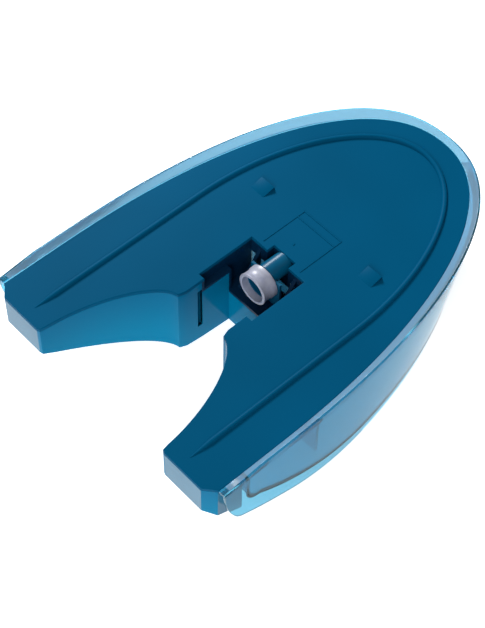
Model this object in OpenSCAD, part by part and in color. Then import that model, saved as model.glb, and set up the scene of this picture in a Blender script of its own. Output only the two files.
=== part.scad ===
// Removable horseshoe-shaped water tank, lying on its top with its base plate up.
// X runs from the leg ends to the nose, Y across, Z up. The origin is the centre of the
// bounding box's bottom face.

/* [Tank body] */
// Overall length, leg ends to nose
tank_l = 285; // [270:1:300]
// Overall width of the outer wall
tank_w = 200.8; // [190:0.2:206]
// Height from the resting edge to the base plate's face
face_z = 60; // [56:1:64]
// Height of the clear lip above the base plate
lip_h = 3.3; // [2:0.1:4]
// Wall thickness of the clear moulding
wall_t = 2.2; // [1.8:0.1:2.4]
// How far the nose wall leans in from the lip to the resting edge
nose_draft = 12; // [6:0.5:14]

/* [Base plate] */
// Thickness of the base plate
plate_t = 2.5; // [2:0.1:3]
// Gap from the lip's outer face to the plate's edge at the sides
plate_inset = 5.3; // [4:0.1:6]
// Width between the two guide ridges, crest to crest
ridge_gauge = 137.4; // [130:0.2:142]
// Width of a guide ridge at its foot
ridge_w = 3.6; // [2.5:0.1:5]
// Height of a guide ridge
ridge_h = 2; // [1:0.1:2.5]
// Height of a snap ramp at its nose end
ramp_h = 2.4; // [1.5:0.1:3]

/* [Notch between the legs] */
// Width of the notch at the leg ends
notch_w = 108; // [100:1:112]
// Width of the narrow mouth
mouth_w = 37; // [34:1:40]
// Depth of the curved part of the notch, along X
notch_l = 77; // [70:1:80]
// Thickness of the tinted notch wall
notch_wall_t = 2.2; // [1.8:0.1:2.6]

/* [Outlet valve] */
// Height of the outlet seal's centre line
seal_z = 48; // [47:0.5:48.5]
// Outer radius of the outlet seal
seal_r = 11.25; // [10.5:0.05:11.5]
// Inner radius of the outlet seal's mouth
seal_bore_r = 9.4; // [9:0.05:9.6]
// Length of the outlet seal
seal_l = 11; // [9:0.5:12]
// Outer radius of the valve tube
tube_r = 7; // [6.5:0.1:7.2]
// Height of the valve tube's centre line
tube_z = 52.5; // [52:0.1:52.8]
// Radius of the plunger's stem
stem_r = 1.5; // [1.2:0.1:1.8]
// Coils of the valve spring
spring_coils = 5; // [3:1:7]

/* [Fill opening] */
// Width of the fill flap
flap_w = 52; // [44:1:60]
// Lowest edge of the fill flap
flap_z0 = 16; // [14:0.5:20]
// Highest edge of the fill flap
flap_z1 = 43; // [38:0.5:44]
// Radius of the hinge pin
pin_r = 1.5; // [1.2:0.1:2]

/* [Hidden] */
$fn = 64;
e = 0.01;
big = 400;

// Plan outlines: a superellipse nose on straight sides
rear_x = -tank_l / 2;
nose_x = tank_l / 2;
body_x0 = rear_x + 52;
body_l = nose_x - body_x0;
rim_n = 2.3;
foot_n = 2.05;
plate_n = 2.17;
shell_end_x = rear_x + 6;
plate_nose_inset = 4.1;
out_steps = 26;

// Side profile: both walls end on an arc that sweeps up towards the legs
arc_x = -15.5;
edge_arc_r = 248;
end_round_l = 30;
end_round_h = 45;
ceiling_depth = 52.8;
ceiling_arc_r = 174;
ceiling_end_x = rear_x + 23;
ceiling_corner_r = 9;
panel_t = 2;
ledge_h = 3.5;
baffle_t = 1.8;

// Legs
leg_corner_y = 87;
leg_chamfer = 6;
leg_side_y = tank_w / 2 - plate_inset - 0.9;
flange_z = face_z - plate_t;

// Notch and pocket
notch_n = 1.67;
notch_y0 = 20;
mouth_y = mouth_w / 2;
notch_end_x = rear_x + notch_l;
corner_x = notch_end_x + 5;
pocket_x0 = -45.9;
pocket_x1 = -3.5;
pocket_y = 23;
channel_end_x = -26;
ledge_z = 50;
well_floor_z = 31;
ext_x1 = 2.3;
ext_y = 9.2;
far_flange_z = 47;
box_floor_z = tube_z - tube_r - 4;
well_t = 2;
slot_x = -49.5;
slot_w = 4;
slot_depth = 4.5;
slot_z = [15.5, 51];
housing_t = 1.5;

// Valve
seal_x0 = -24.5;
seal_x1 = seal_x0 + seal_l;
collar_x0 = seal_x0 + 5;
collar_t = 1.5;
web_t = 1.6;
tube_bore_r = 5.3;
spigot_r = 3.9;
spigot_bore_r = 2.9;
spigot_x1 = 9;
seat_hole_r = 3.2;
seat_t = 0.8;
poppet_r = 4.4;
poppet_t = 2;
poppet_x = seal_x1 + seat_t + 0.05;
stem_x0 = seal_x0 + 6;
stem_x1 = 3.5;
retainer_x = -1;
retainer_x1 = 0.8;
strainer_x1 = 20;
strainer_r = 4.8;
gauze_r = 4.3;
sleeve_l = 0.5;
cap_t = 1.5;
run_gap = 0.05;
wire_r = 0.35;
spring_r = 3.2;
o_ring_r = 0.5;
seal_mouth_r = 9;

// Vent
vent_x = 20;
vent_stem_r = 1.5;

// Fill opening
opening_gap = 0.5;
flap_t = 1.4;
gasket_t = 0.5;
frame_margin = 3.5;
frame_t = 2;
hinge_x = 139.2;
hinge_z = flap_z1 + 3.2;
knuckle_r = 2.6;
knuckle_half = 13;
lug_w = 5;
lug_l = 6;
lug_h = 2.8;
lug_gap = 0.3;

// Half width of a superellipse at an angle
function half(cx, a, b, n, t) = [cx + a * pow(cos(t), 2 / n), b * pow(sin(t), 2 / n)];
// Closed outline: right side back to front, round the nose, and back along the left side
function outline(a, b, n, end_x) = concat(
    [[end_x, -b]],
    [for (i = [0:out_steps]) let (p = half(body_x0, a, b, n, 90 - 90 * i / out_steps))
        [p[0], -p[1]]],
    [for (i = [1:out_steps]) half(body_x0, a, b, n, 90 * i / out_steps)],
    [[end_x, b]]);
function rim_outline(inset) =
    outline(body_l - inset, tank_w / 2 - inset, rim_n, rear_x);
function foot_outline(inset) =
    outline(body_l - nose_draft - inset, tank_w / 2 + 0.3 - inset, foot_n, rear_x);
function plate_outline(end_x) =
    outline(body_l - plate_nose_inset, tank_w / 2 - plate_inset, plate_n, end_x);

// Rise of an arc of radius r, measured from its tangent point at arc_x
function rise(r, x) = x < arc_x ? r - sqrt(r * r - pow(arc_x - x, 2)) : 0;
// Height of the walls' lower edge
function edge_z(x) = rise(edge_arc_r, x);
// Height of the clear wall's lower edge, which turns up at the legs
function shell_edge_z(x) = let (cx = shell_end_x + end_round_l)
    x < cx ? max(edge_z(x), face_z - end_round_h * sqrt(max(0, 1 - pow((cx - x) / end_round_l, 2))))
    : edge_z(x);
function ceiling_z(x, t) = face_z - ceiling_depth + rise(ceiling_arc_r, x) + t;

// Drafted solid inside the clear wall's outer face, with lip on top
module body_solid(inset) {
    hull() {
        translate([0, 0, face_z + lip_h - e]) linear_extrude(e) polygon(rim_outline(inset));
        linear_extrude(e) polygon(foot_outline(inset));
    }
}

// Side view extruded across the whole width
module side_extrude(points) {
    translate([0, tank_w, 0]) rotate([90, 0, 0]) linear_extrude(2 * tank_w) polygon(points);
}

// Everything above the walls' lower edge
module above_edge() {
    side_extrude(concat(
        [for (i = [0:20]) let (x = rear_x - 1 + (arc_x - rear_x + 1) * i / 20) [x, edge_z(x)]],
        [[big, 0], [big, face_z], [rear_x - 1, face_z]]));
}

// Point of the notch's curve, grown by t into the tank
function notch_point(t, a) = [rear_x + (notch_l + t) * pow(cos(a), 2 / notch_n),
    notch_y0 + (notch_w / 2 - notch_y0 + t) * pow(sin(a), 2 / notch_n)];

// Plan shape of the notch, grown by t into the tank
module notch_2d(t) {
    curve = concat([for (i = [0:18]) notch_point(t, 5 * i)], [[rear_x - 10, notch_w / 2 + t]]);
    polygon(concat(mirrored(curve), [[corner_x, -mouth_y - t], [corner_x, mouth_y + t]], curve));
}

module channel_2d(t, x1) {
    translate([corner_x - 2, -mouth_y - t]) square([x1 - corner_x + 2 + t, mouth_w + 2 * t]);
}

// Plan shape of the pocket round the outlet
module pocket_2d(t) {
    translate([pocket_x0 - t, -pocket_y - t])
        square([pocket_x1 - pocket_x0 + 2 * t, 2 * (pocket_y + t)]);
}

module extension_2d(t) {
    translate([pocket_x1 - 1, -ext_y - t]) square([ext_x1 - pocket_x1 + 1 + t, 2 * (ext_y + t)]);
}

// Plate's outline with the legs' outer corners cut off
module plate_2d() {
    intersection() {
        polygon(plate_outline(rear_x));
        union() {
            polygon([[rear_x, -leg_corner_y], [rear_x + leg_chamfer, -leg_side_y], [big, -leg_side_y],
                [big, leg_side_y], [rear_x + leg_chamfer, leg_side_y], [rear_x, leg_corner_y]]);
            translate([shell_end_x, -big / 2]) square([big, big]);
        }
    }
}

// Rounded bar along the guide path, pointed at both ends
module guide_ridge() {
    n_side = 8;
    ridge_x0 = rear_x + 8.5;
    turn_x = -5.5;
    nose_l = 128;
    sunk = 0.3;
    gy = ridge_gauge / 2;
    path = concat(
        [for (i = [0:8]) [ridge_x0 + (turn_x - ridge_x0) * i / 8, -gy]],
        [for (i = [1:35]) [turn_x + nose_l * sin(180 * i / 36), -gy * cos(180 * i / 36)]],
        [for (i = [8:-1:0]) [ridge_x0 + (turn_x - ridge_x0) * i / 8, gy]]);
    last = len(path) - 1;
    rings = [for (k = [0:last])
        let (d = path[min(last, k + 1)] - path[max(0, k - 1)], u = d / norm(d),
            s = (k == 0 || k == last) ? 0.08 : (k == 1 || k == last - 1) ? 0.75 : 1)
        [for (j = [0:n_side]) let (a = 180 * j / n_side)
            [path[k][0] - u[1] * cos(a) * s * ridge_w / 2, path[k][1] + u[0] * cos(a) * s * ridge_w / 2,
                face_z - sunk + (ridge_h + sunk) * sin(a) * s]]];
    m = n_side + 1;
    points = [for (r = rings) each r];
    polyhedron(points, concat(
        [for (k = [0:last - 1]) for (j = [0:n_side])
            [k * m + j, (k + 1) * m + j, (k + 1) * m + (j + 1) % m, k * m + (j + 1) % m]],
        [[for (j = [0:n_side]) j]], [[for (j = [n_side:-1:0]) last * m + j]]));
}

// Wedge that snaps over a catch
module snap_ramp(side) {
    ramp_x = 22.5;
    ramp_l = 10.3;
    ramp_y = 46.7;
    ramp_w = 11.4;
    ramp_flat = 2.5;
    translate([ramp_x, side * ramp_y + ramp_w / 2, face_z - e]) rotate([90, 0, 0])
        linear_extrude(ramp_w) polygon([[0, 0], [ramp_l, 0], [ramp_l, ramp_h], [ramp_l - ramp_flat, ramp_h]]);
}

module base_plate() {
    pad_w = 32;
    pad_x0 = -0.5;
    pad_x1 = 34;
    pad_step = 6;
    line_w = 0.9;
    line_h = 0.35;
    rib_t = 1.4;
    rib_h = 3;
    rib_y = [notch_w / 2 + 3, leg_corner_y - 3];
    color([0, 0.35, 0.5]) {
        difference() {
            translate([0, 0, flange_z]) linear_extrude(plate_t) plate_2d();
            translate([0, 0, flange_z - 1]) linear_extrude(plate_t + 2) {
                notch_2d(0);
                channel_2d(0, pocket_x0);
                pocket_2d(0);
                extension_2d(0);
            }
        }
        guide_ridge();
        for (side = [-1, 1]) {
            snap_ramp(side);
            translate([pad_x0, side * pad_w / 2 - line_w / 2, face_z - e])
                cube([pad_x1 - pad_x0, line_w, line_h]);
            // rib behind the leg's front wall
            translate([rear_x + notch_wall_t + run_gap, side > 0 ? rib_y[0] : -rib_y[1], flange_z - rib_h])
                cube([rib_t, rib_y[1] - rib_y[0], rib_h + e]);
        }
        for (x = [pad_x1 - pad_step, pad_x1])
            translate([x - line_w / 2, -pad_w / 2, face_z - e]) cube([line_w, pad_w, line_h]);
        // small moulded arrow
        translate([11.2, 1.7, face_z - e]) cylinder(r = 1.3, h = line_h, $fn = 3);
    }
}

// Half of the tinted wall's plan line, t inside the tank: side, leg front, notch and mouth
function wall_path(t) = concat(
    [[ceiling_end_x, leg_side_y - t], [rear_x + leg_chamfer + t / 2, leg_side_y - t],
        [rear_x + t, leg_corner_y - t / 2], [rear_x + t, notch_w / 2 + t]],
    [for (i = [17:-1:0]) let (p = notch_point(t, 5 * i))
        if (p[0] > rear_x + t + 1 && p[1] > mouth_y + t + 0.4) p],
    [[corner_x, mouth_y + t], [channel_end_x + t, mouth_y + t]]);
function mirrored(path) = [for (i = [len(path) - 1:-1:0]) [path[i][0], -path[i][1]]];
function reversed(path) = [for (i = [len(path) - 1:-1:0]) path[i]];

module notch_wall() {
    outer = wall_path(0);
    inner = wall_path(notch_wall_t);
    color([0, 0.47, 0.6]) difference() {
        union() {
            intersection() {
                linear_extrude(flange_z)
                    polygon(concat(outer, mirrored(outer), reversed(mirrored(inner)), reversed(inner)));
                above_edge();
            }
            for (side = [-1, 1])
                translate([slot_x - slot_w / 2 - housing_t,
                    side > 0 ? mouth_y + e : -mouth_y - slot_depth - housing_t, slot_z[0] - housing_t])
                    cube([slot_w + 2 * housing_t, slot_depth + housing_t - e,
                        slot_z[1] - slot_z[0] + 2 * housing_t]);
        }
        translate([pocket_x0 - well_t, -pocket_y - well_t, ledge_z - well_t])
            cube([big, 2 * (pocket_y + well_t), big]);
        translate([channel_end_x, -pocket_y, well_floor_z - well_t]) cube([big, 2 * pocket_y, big]);
        for (side = [-1, 1])
            translate([slot_x - slot_w / 2, side > 0 ? mouth_y - 1 : -mouth_y - slot_depth, slot_z[0]])
                cube([slot_w, slot_depth + 1, slot_z[1] - slot_z[0]]);
    }
}

module pocket_well() {
    gusset_w = 2.4;
    gusset_y = 15.5;
    gusset_l = 17;
    gusset_step = [-10, 40];
    color([0, 0.2, 0.33]) {
        for (side = [-1, 1]) {
            // side wall down to the floor, then the shallow ledge beside the channel
            translate([channel_end_x, side > 0 ? pocket_y : -pocket_y - well_t, well_floor_z - well_t])
                cube([pocket_x1 - channel_end_x + well_t, well_t, flange_z - well_floor_z + well_t]);
            translate([pocket_x0 - well_t, side > 0 ? pocket_y : -pocket_y - well_t, ledge_z - well_t])
                cube([channel_end_x - pocket_x0 + well_t + e, well_t, flange_z - ledge_z + well_t]);
            translate([pocket_x0 - well_t, side > 0 ? mouth_y : -pocket_y - e, ledge_z - well_t])
                cube([channel_end_x - pocket_x0 + well_t + e, pocket_y - mouth_y + e, well_t]);
            translate([pocket_x0 - well_t, side > 0 ? mouth_y : -pocket_y - e, ledge_z - e])
                cube([well_t, pocket_y - mouth_y + e, flange_z - ledge_z + e]);
            translate([channel_end_x, side > 0 ? mouth_y : -pocket_y, well_floor_z - well_t])
                cube([well_t, pocket_y - mouth_y, ledge_z - well_floor_z + well_t]);
            // far wall's top flange, beside the extension
            translate([pocket_x1, side > 0 ? ext_y : -pocket_y, far_flange_z])
                cube([well_t, pocket_y - ext_y, flange_z - far_flange_z]);
            // extension's walls
            translate([pocket_x1, side > 0 ? ext_y : -ext_y - well_t, box_floor_z])
                cube([ext_x1 - pocket_x1 + well_t, well_t, flange_z - box_floor_z]);
            // diagonal rib from the floor to the far wall's flange
            translate([pocket_x1 + e, side * gusset_y + gusset_w / 2, 0]) rotate([90, 0, 0])
                linear_extrude(gusset_w) polygon([[0, well_floor_z], [-gusset_l, well_floor_z],
                    gusset_step, [0, far_flange_z + 8]]);
        }
        translate([channel_end_x, -pocket_y, well_floor_z - well_t])
            cube([pocket_x1 - channel_end_x + well_t, 2 * pocket_y, well_t]);
        translate([pocket_x1, -ext_y, box_floor_z])
            cube([ext_x1 - pocket_x1 + well_t, 2 * ext_y, well_t]);
        difference() {
            translate([ext_x1, -ext_y, box_floor_z])
                cube([well_t, 2 * ext_y, flange_z - box_floor_z]);
            translate([ext_x1 - 1, 0, tube_z]) rotate([0, 90, 0]) cylinder(r = spigot_r, h = well_t + 2);
        }
    }
}

module well_end_wall() {
    color([0.7, 0.75, 0.85, 0.5]) {
        for (side = [-1, 1])
            translate([pocket_x1, side > 0 ? ext_y + well_t : -pocket_y, well_floor_z])
                cube([well_t, pocket_y - ext_y - well_t, far_flange_z - well_floor_z]);
        translate([pocket_x1, -ext_y - well_t - e, well_floor_z])
            cube([well_t, 2 * (ext_y + well_t + e), box_floor_z - well_floor_z]);
    }
}

// Side view of the clear wall: lip on top, rounded ends at the legs
module shell_side() {
    side_extrude(concat(
        [for (i = [0:24]) let (x = shell_end_x + end_round_l * (1 - cos(90 * i / 24))) [x, shell_edge_z(x)]],
        [for (i = [1:16]) let (x0 = shell_end_x + end_round_l, x = x0 + (arc_x - x0) * i / 16)
            [x, shell_edge_z(x)]],
        [[big, 0], [big, face_z + lip_h]],
        [for (i = [0:10]) [shell_end_x + 26 * cos(9 * i), face_z + lip_h * sin(90 - 9 * i)]]));
}

module fill_window(margin) {
    translate([nose_x - 40, -flap_w / 2 - margin, flap_z0 - margin])
        cube([60, flap_w + 2 * margin, flap_z1 - flap_z0 + 2 * margin]);
}

// Room for the hinge barrel in the wall above the opening
module hinge_slot() {
    half = knuckle_half + lug_gap + lug_w + opening_gap;
    translate([nose_x - 20, -half, flap_z1]) cube([40, 2 * half, hinge_z - flap_z1]);
    translate([hinge_x, half, hinge_z]) rotate([90, 0, 0]) cylinder(r = knuckle_r + opening_gap, h = 2 * half);
}

module outer_shell() {
    lip_t = 1.2;
    color([0.6, 0.7, 0.8, 0.5]) intersection() {
        difference() {
            body_solid(0);
            // reservoir
            intersection() {
                body_solid(wall_t);
                translate([-big, -big, -e]) cube([2 * big, 2 * big, face_z - ledge_h]);
            }
            // seat of the base plate
            translate([0, 0, face_z - ledge_h - 1]) linear_extrude(ledge_h + 1 + e)
                polygon(plate_outline(rear_x - 20));
            // flared inner face of the lip
            hull() {
                translate([0, 0, face_z]) linear_extrude(e) polygon(plate_outline(rear_x - 20));
                translate([0, 0, face_z + lip_h]) linear_extrude(1) polygon(rim_outline(lip_t));
            }
            translate([rear_x - 1, -big, 0]) cube([shell_end_x - rear_x + 1, 2 * big, big]);
            fill_window(opening_gap);
            hinge_slot();
        }
        shell_side();
    }
}

// Side view of the reservoir, t inside the panel's outer face
function ceiling_side(t) = concat(
    [[ceiling_end_x + t, face_z - ledge_h]],
    [for (i = [0:8]) let (a = 11.25 * i, r = ceiling_corner_r - t, cx = ceiling_end_x + ceiling_corner_r)
        [cx - r * cos(a), ceiling_z(cx, 0) + ceiling_corner_r - r * sin(a)]],
    [for (i = [1:14]) let (x0 = ceiling_end_x + ceiling_corner_r, x = x0 + (arc_x - x0) * i / 14)
        [x, ceiling_z(x, t)]],
    [[big, ceiling_z(big, t)], [big, face_z - ledge_h]]);

module ceiling_panel() {
    color([0.65, 0.75, 0.85, 0.5]) difference() {
        intersection() {
            difference() {
                side_extrude(ceiling_side(0));
                side_extrude(ceiling_side(panel_t));
            }
            body_solid(wall_t);
            translate([0, 0, -1]) linear_extrude(flange_z + 1) difference() {
                translate([-big, -big]) square([2 * big, 2 * big]);
                notch_2d(notch_wall_t);
                channel_2d(notch_wall_t, channel_end_x);
            }
        }
        translate([vent_x, 0, 0]) cylinder(r = vent_stem_r, h = 20);
    }
}

// Vertical anti-slosh rib between the notch wall and the clear wall
module side_baffle(side) {
    baffle_x = -62;
    baffle_y = 31;
    baffle_z = 20;
    color([0.6, 0.75, 0.82, 0.5]) intersection() {
        translate([baffle_x, side > 0 ? baffle_y : -big, baffle_z])
            cube([baffle_t, big - baffle_y, flange_z - baffle_z]);
        body_solid(wall_t);
        translate([-big, -leg_side_y, 0]) cube([2 * big, 2 * leg_side_y, big]);
    }
}

module left_baffle() { side_baffle(1); }

module right_baffle() { side_baffle(-1); }

module front_baffle() {
    baffle_x = 62;
    baffle_half = 50;
    baffle_z = 16;
    gap_w = 14;
    gap_z = 46;
    color([0.6, 0.75, 0.82, 0.5]) difference() {
        translate([baffle_x, -baffle_half, baffle_z])
            cube([baffle_t, 2 * baffle_half, flange_z - baffle_z]);
        for (y = [-30, 0, 30]) translate([baffle_x - 1, y - gap_w / 2, gap_z])
            cube([baffle_t + 2, gap_w, flange_z]);
    }
}

// Cylinder along +X from x0 to x1
module along_x(x0, x1, z, r) {
    translate([x0, 0, z]) rotate([0, 90, 0]) cylinder(r = r, h = x1 - x0);
}

module valve_body() {
    bracket_w = 25;
    bracket_top = 54;
    color([0, 0.3, 0.42]) difference() {
        union() {
            along_x(collar_x0, seal_x1, seal_z, seal_bore_r);
            along_x(seal_x1, ext_x1, tube_z, tube_r);
            along_x(ext_x1 - e, spigot_x1, tube_z, spigot_r);
            // bracket that carries the valve on the well's floor
            translate([seal_x1, -bracket_w / 2, well_floor_z])
                cube([web_t, bracket_w, bracket_top - well_floor_z]);
        }
        along_x(collar_x0 - 1, seal_x1 - web_t, seal_z, seal_bore_r - collar_t);
        along_x(seal_x1 - web_t - 1, seal_x1 + 1, tube_z, seat_hole_r);
        along_x(seal_x1, retainer_x1, tube_z, tube_bore_r);
        along_x(retainer_x1 - 1, spigot_x1 + 1, tube_z, spigot_bore_r);
    }
}

module valve_seat() {
    color([0.15, 0.15, 0.17]) difference() {
        along_x(seal_x1, seal_x1 + seat_t, tube_z, tube_bore_r);
        along_x(seal_x1 - 1, seal_x1 + seat_t + 1, tube_z, seat_hole_r);
    }
}

module outlet_seal() {
    groove = 0.45;
    lip_l = 1.2;
    band_l = 3.4;
    color([0.72, 0.7, 0.82]) difference() {
        union() {
            along_x(seal_x0, seal_x1, seal_z, seal_r - groove);
            along_x(seal_x0, seal_x0 + lip_l, seal_z, seal_r - 0.15);
            along_x(seal_x1 - band_l, seal_x1, seal_z, seal_r);
        }
        along_x(seal_x0 - 1, collar_x0 + 1, seal_z, seal_mouth_r);
        along_x(collar_x0, seal_x1 + 1, seal_z, seal_bore_r);
    }
}

module valve_plunger() {
    tip_l = 1.6;
    boss_l = 1.5;
    color([0.85, 0.86, 0.88]) {
        along_x(stem_x0, stem_x1, tube_z, stem_r);
        along_x(stem_x0, stem_x0 + tip_l, tube_z, stem_r + 1);
        along_x(poppet_x + o_ring_r, poppet_x + poppet_t, tube_z, poppet_r);
        along_x(poppet_x + poppet_t - e, poppet_x + poppet_t + boss_l, tube_z, spring_r - wire_r - 0.4);
    }
}

// Face seal bonded to the plunger's front
module plunger_o_ring() {
    color([0.1, 0.1, 0.1]) difference() {
        translate([poppet_x + o_ring_r, 0, tube_z]) rotate([0, 90, 0])
            rotate_extrude() translate([poppet_r - o_ring_r, 0]) circle(r = o_ring_r, $fn = 24);
        along_x(poppet_x + o_ring_r, poppet_x + poppet_t, tube_z, poppet_r + 1);
    }
}

module valve_spring() {
    x0 = poppet_x + poppet_t + wire_r + 0.05;
    x1 = retainer_x - wire_r - 0.05;
    n_side = 6;
    steps = spring_coils * 16;
    rings = [for (k = [0:steps]) let (a = 22.5 * k, x = x0 + (x1 - x0) * k / steps)
        [for (j = [0:n_side - 1]) let (b = 360 * j / n_side, rr = spring_r + wire_r * cos(b))
            [x + wire_r * sin(b), rr * cos(a), tube_z + rr * sin(a)]]];
    color([0.75, 0.76, 0.78]) polyhedron([for (r = rings) each r], concat(
        [for (k = [0:steps - 1]) for (j = [0:n_side - 1])
            [k * n_side + j, (k + 1) * n_side + j,
                (k + 1) * n_side + (j + 1) % n_side, k * n_side + (j + 1) % n_side]],
        [[for (j = [0:n_side - 1]) j]], [[for (j = [n_side - 1:-1:0]) steps * n_side + j]]));
}

module spring_retainer() {
    port_r = 0.9;
    port_at = 3.2;
    color([0.8, 0.82, 0.85]) difference() {
        along_x(retainer_x, retainer_x1, tube_z, tube_bore_r);
        along_x(retainer_x - 1, retainer_x1 + 1, tube_z, stem_r + run_gap);
        for (a = [0:90:270]) translate([0, 0, tube_z]) rotate([a, 0, 0]) translate([0, 0, port_at - tube_z])
            along_x(retainer_x - 1, retainer_x1 + 1, tube_z, port_r);
    }
}

// Cage that carries the strainer's gauze
module strainer_frame() {
    bar_w = 1.2;
    color([0.2, 0.4, 0.5]) {
        difference() {
            along_x(ext_x1 + well_t, spigot_x1 + sleeve_l, tube_z, strainer_r);
            along_x(ext_x1, spigot_x1 + 1, tube_z, spigot_r);
        }
        along_x(strainer_x1 - cap_t, strainer_x1, tube_z, strainer_r);
        intersection() {
            difference() {
                along_x(spigot_x1, strainer_x1, tube_z, strainer_r);
                along_x(spigot_x1 - 1, strainer_x1 + 1, tube_z, gauze_r);
            }
            union() {
                translate([spigot_x1, -bar_w / 2, 0]) cube([strainer_x1 - spigot_x1, bar_w, big]);
                translate([spigot_x1, -big, tube_z - bar_w / 2])
                    cube([strainer_x1 - spigot_x1, 2 * big, bar_w]);
            }
        }
    }
}

module strainer_mesh() {
    gauze_t = 0.3;
    color([0.8, 0.8, 0.82]) difference() {
        along_x(spigot_x1 + sleeve_l, strainer_x1 - cap_t, tube_z, gauze_r);
        along_x(spigot_x1, strainer_x1, tube_z, gauze_r - gauze_t);
    }
}

// Slice of the clear wall between two depths, at the fill opening
module wall_slice(inset0, inset1, margin) {
    difference() {
        intersection() {
            body_solid(inset0);
            fill_window(margin);
        }
        body_solid(inset1);
    }
}

module along_hinge(y0, y1, r) {
    translate([hinge_x, y1, hinge_z]) rotate([90, 0, 0]) cylinder(r = r, h = y1 - y0);
}

module fill_frame() {
    lug_y = knuckle_half + lug_gap;
    top = hinge_z + knuckle_r + 2;
    color([0.45, 0.62, 0.72]) {
        difference() {
            union() {
                wall_slice(wall_t, wall_t + frame_t, frame_margin);
                difference() {
                    intersection() {
                        body_solid(wall_t);
                        translate([nose_x - 40, -lug_y - lug_w - 1, flap_z1 + 1])
                            cube([60, 2 * (lug_y + lug_w + 1), top - flap_z1 - 1]);
                    }
                    body_solid(wall_t + frame_t);
                }
            }
            fill_window(-frame_margin);
            along_hinge(-lug_y - lug_w, lug_y + lug_w, knuckle_r + lug_gap);
        }
        for (side = [-1, 1]) difference() {
            union() {
                along_hinge(side > 0 ? lug_y : -lug_y - lug_w, side > 0 ? lug_y + lug_w : -lug_y, knuckle_r);
                translate([hinge_x - lug_l, side > 0 ? lug_y : -lug_y - lug_w, hinge_z - lug_h])
                    cube([lug_l, lug_w, lug_h]);
            }
            along_hinge(-lug_y - lug_w - 1, lug_y + lug_w + 1, pin_r);
        }
    }
}

module fill_flap() {
    grip_w = 20;
    grip_z = flap_z0 + 1;
    grip_t = 1.6;
    grip_reach = [nose_x - 9.4, 2.2];
    color([0.5, 0.68, 0.78]) difference() {
        union() {
            wall_slice(0, flap_t, 0);
            intersection() {
                difference() {
                    body_solid(0);
                    body_solid(flap_t);
                }
                translate([nose_x - 40, -knuckle_half, flap_z1 - 2])
                    cube([60, 2 * knuckle_half, hinge_z - flap_z1 + 2]);
            }
            along_hinge(-knuckle_half, knuckle_half, knuckle_r);
            translate([grip_reach[0], -grip_w / 2, grip_z]) cube([grip_reach[1], grip_w, grip_t]);
        }
        along_hinge(-knuckle_half - 1, knuckle_half + 1, pin_r + run_gap);
    }
}

module flap_gasket() {
    edge = 0.8;
    band = 3;
    color([0.85, 0.85, 0.88]) difference() {
        wall_slice(flap_t, flap_t + gasket_t, -edge);
        fill_window(-edge - band);
    }
}

module flap_hinge_pin() {
    half = knuckle_half + lug_gap + lug_w;
    color([0.75, 0.76, 0.78]) along_hinge(-half, half, pin_r);
}

// Umbrella valve that lets air in as the water leaves
module vent_valve() {
    panel_z = face_z - ceiling_depth;
    umbrella_r = 6;
    umbrella_t = 1.6;
    barb_r = 2.3;
    barb_h = 2.4;
    color([0.8, 0.8, 0.86]) translate([vent_x, 0, 0]) {
        translate([0, 0, panel_z - umbrella_t]) cylinder(r = umbrella_r, h = umbrella_t);
        translate([0, 0, panel_z - e]) cylinder(r = vent_stem_r, h = panel_t + 2 * e);
        translate([0, 0, panel_z + panel_t]) cylinder(r = barb_r, h = barb_h);
    }
}

base_plate();
notch_wall();
pocket_well();
well_end_wall();
outer_shell();
ceiling_panel();
left_baffle();
right_baffle();
front_baffle();
valve_body();
valve_seat();
outlet_seal();
valve_plunger();
plunger_o_ring();
valve_spring();
spring_retainer();
strainer_frame();
strainer_mesh();
fill_frame();
fill_flap();
flap_gasket();
flap_hinge_pin();
vent_valve();
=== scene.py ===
from math import cos, hypot, pi, radians, sin, sqrt

import bmesh
import bpy
from mathutils import Matrix, Vector


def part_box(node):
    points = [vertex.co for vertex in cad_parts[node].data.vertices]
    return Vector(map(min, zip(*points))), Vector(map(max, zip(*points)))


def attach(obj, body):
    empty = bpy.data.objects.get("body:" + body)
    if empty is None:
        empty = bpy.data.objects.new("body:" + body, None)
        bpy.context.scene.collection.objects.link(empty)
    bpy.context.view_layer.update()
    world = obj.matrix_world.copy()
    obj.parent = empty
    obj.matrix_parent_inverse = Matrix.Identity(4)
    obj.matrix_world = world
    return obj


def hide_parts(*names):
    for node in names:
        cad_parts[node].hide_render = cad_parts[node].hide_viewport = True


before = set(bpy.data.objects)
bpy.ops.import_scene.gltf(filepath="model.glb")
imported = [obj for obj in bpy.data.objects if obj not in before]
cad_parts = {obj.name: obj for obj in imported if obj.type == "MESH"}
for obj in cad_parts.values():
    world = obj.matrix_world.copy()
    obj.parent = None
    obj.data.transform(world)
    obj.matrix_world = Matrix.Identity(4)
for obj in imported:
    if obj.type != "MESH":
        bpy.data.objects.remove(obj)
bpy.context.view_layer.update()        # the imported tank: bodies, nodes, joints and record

mm = 0.001
print("frame loaded:", len(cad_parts), "nodes")

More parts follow.
